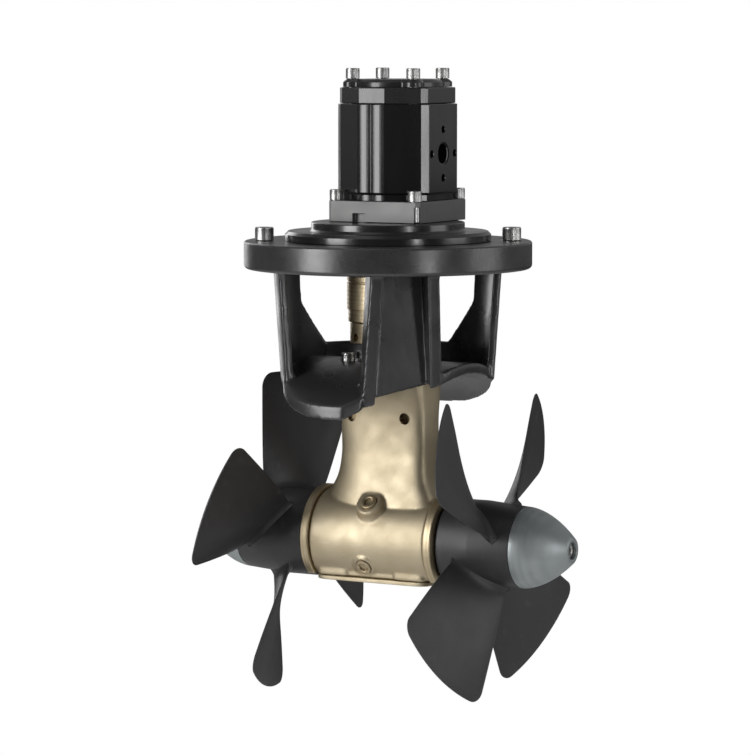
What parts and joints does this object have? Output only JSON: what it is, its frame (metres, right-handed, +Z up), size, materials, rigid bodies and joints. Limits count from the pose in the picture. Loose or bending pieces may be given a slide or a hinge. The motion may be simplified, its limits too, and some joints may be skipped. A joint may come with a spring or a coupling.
{
  "type": "bow thruster",
  "caption": "Hydraulic bow thruster: gear motor on a windowed bracket over a bronze gear leg with two four-bladed counter-rotating propellers and zinc nose cones.",
  "frame": {"origin": "where the vertical input shaft's axis meets the propeller axis, at the centre of the hub and of the tunnel", "axes": "+X along the propeller axis towards the right propeller, +Z up along the input shaft towards the motor, +Y away from the picture's viewer"},
  "size_m": [0.3932, 0.307, 0.6007],
  "materials": {
    "black_casting": "satin black paint on a casting",
    "black_gloss": "gloss black paint",
    "grey_plate": "machined, dark grey",
    "bronze": "satin cast bronze",
    "coupling_bronze": "machined bronze",
    "steel": "machined steel",
    "stainless": "bright screws",
    "zinc": "cast zinc, slightly dull",
    "composite": "matt black moulding",
    "rubber": "matt black"
  },
  "bodies": {
    "thruster_frame": {"bracket": "black_casting", "flange_bolt_1": "stainless", "flange_bolt_2": "stainless", "motor_adapter_disc": "black_casting", "motor_mounting_plate": "grey_plate", "plate_bolt_1": "stainless", "plate_bolt_2": "stainless", "plate_bolt_3": "stainless", "plate_bolt_4": "stainless", "motor_body": "black_gloss", "motor_end_cap": "black_gloss", "motor_end_cover": "black_gloss", "tie_bolt_1": "stainless", "tie_bolt_2": "stainless", "tie_bolt_3": "stainless", "tie_bolt_4": "stainless", "motor_shaft_seal": "rubber", "input_upper_bearing": "steel", "input_lower_bearing": "steel", "input_shaft_seal": "rubber", "gear_leg": "bronze", "leg_bolt_1": "stainless", "leg_bolt_2": "stainless", "leg_bolt_3": "stainless", "leg_bolt_4": "stainless", "filler_plug": "bronze", "drain_plug": "bronze", "saddle_gasket": "rubber", "sump_cover": "bronze", "right_bearing_carrier": "bronze", "right_shaft_bearing": "steel", "right_shaft_seal": "rubber", "left_bearing_carrier": "bronze", "left_shaft_bearing": "steel", "left_shaft_seal": "rubber"},
    "input_line": {"motor_shaft": "steel", "motor_drive_gear": "steel", "coupling_upper_hub": "coupling_bronze", "coupling_spider": "rubber", "coupling_lower_hub": "coupling_bronze", "input_shaft": "steel", "input_pinion": "steel"},
    "motor_idler": {"motor_idler_gear": "steel"},
    "right_propeller_line": {"right_crown_gear": "steel", "right_propeller_shaft": "steel", "right_drive_pin": "stainless", "right_propeller": "composite", "right_propeller_nut": "stainless", "right_nose_anode": "zinc", "right_anode_screw": "stainless"},
    "left_propeller_line": {"left_crown_gear": "steel", "left_propeller_shaft": "steel", "left_drive_pin": "stainless", "left_propeller": "composite", "left_propeller_nut": "stainless", "left_nose_anode": "zinc", "left_anode_screw": "stainless"}
  },
  "joints": [
    {"name": "right_propeller_spin", "type": "hinge", "parent": "thruster_frame", "child": "right_propeller_line", "pos_m": [0, 0, 0], "axis": [1, 0, 0], "continuous": true},
    {"name": "left_propeller_spin", "type": "hinge", "parent": "thruster_frame", "child": "left_propeller_line", "pos_m": [0, 0, 0], "axis": [1, 0, 0], "continuous": true},
    {"name": "input_shaft_spin", "type": "hinge", "parent": "thruster_frame", "child": "input_line", "pos_m": [0, 0, 0], "axis": [0, 0, 1], "continuous": true},
    {"name": "motor_idler_spin", "type": "hinge", "parent": "thruster_frame", "child": "motor_idler", "pos_m": [0, 0.038, 0], "axis": [0, 0, 1], "continuous": true}
  ],
  "couplings": [
    {"joint": "input_shaft_spin", "follows": "right_propeller_spin", "ratio": -2},
    {"joint": "left_propeller_spin", "follows": "right_propeller_spin", "ratio": -1},
    {"joint": "motor_idler_spin", "follows": "right_propeller_spin", "ratio": 2}
  ]
}
